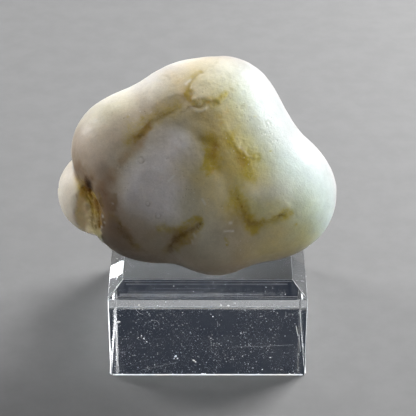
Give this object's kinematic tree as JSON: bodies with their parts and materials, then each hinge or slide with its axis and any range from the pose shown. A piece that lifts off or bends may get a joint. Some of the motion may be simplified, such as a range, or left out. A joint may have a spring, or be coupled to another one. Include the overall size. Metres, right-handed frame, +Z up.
{
  "type": "raw quartz stone on a clear display block",
  "caption": "Waterworn lump of milky quartz resting on a solid clear square display block with bevelled upper edges.",
  "frame": {"origin": "middle of the display block's underside", "axes": "+Z up, +X to the right when the stone's broad face is looked at, -Y towards the viewer"},
  "size_m": [0.0702, 0.0546, 0.0773],
  "materials": {
    "milky_quartz": "waterworn satin, milky and slightly translucent, with ochre iron stains in the cracks",
    "clear_acrylic": "clear and polished, with fine dust and hairline scratches"
  },
  "bodies": {
    "root": {"quartz_stone": "milky_quartz", "display_block": "clear_acrylic"}
  },
  "joints": []
}
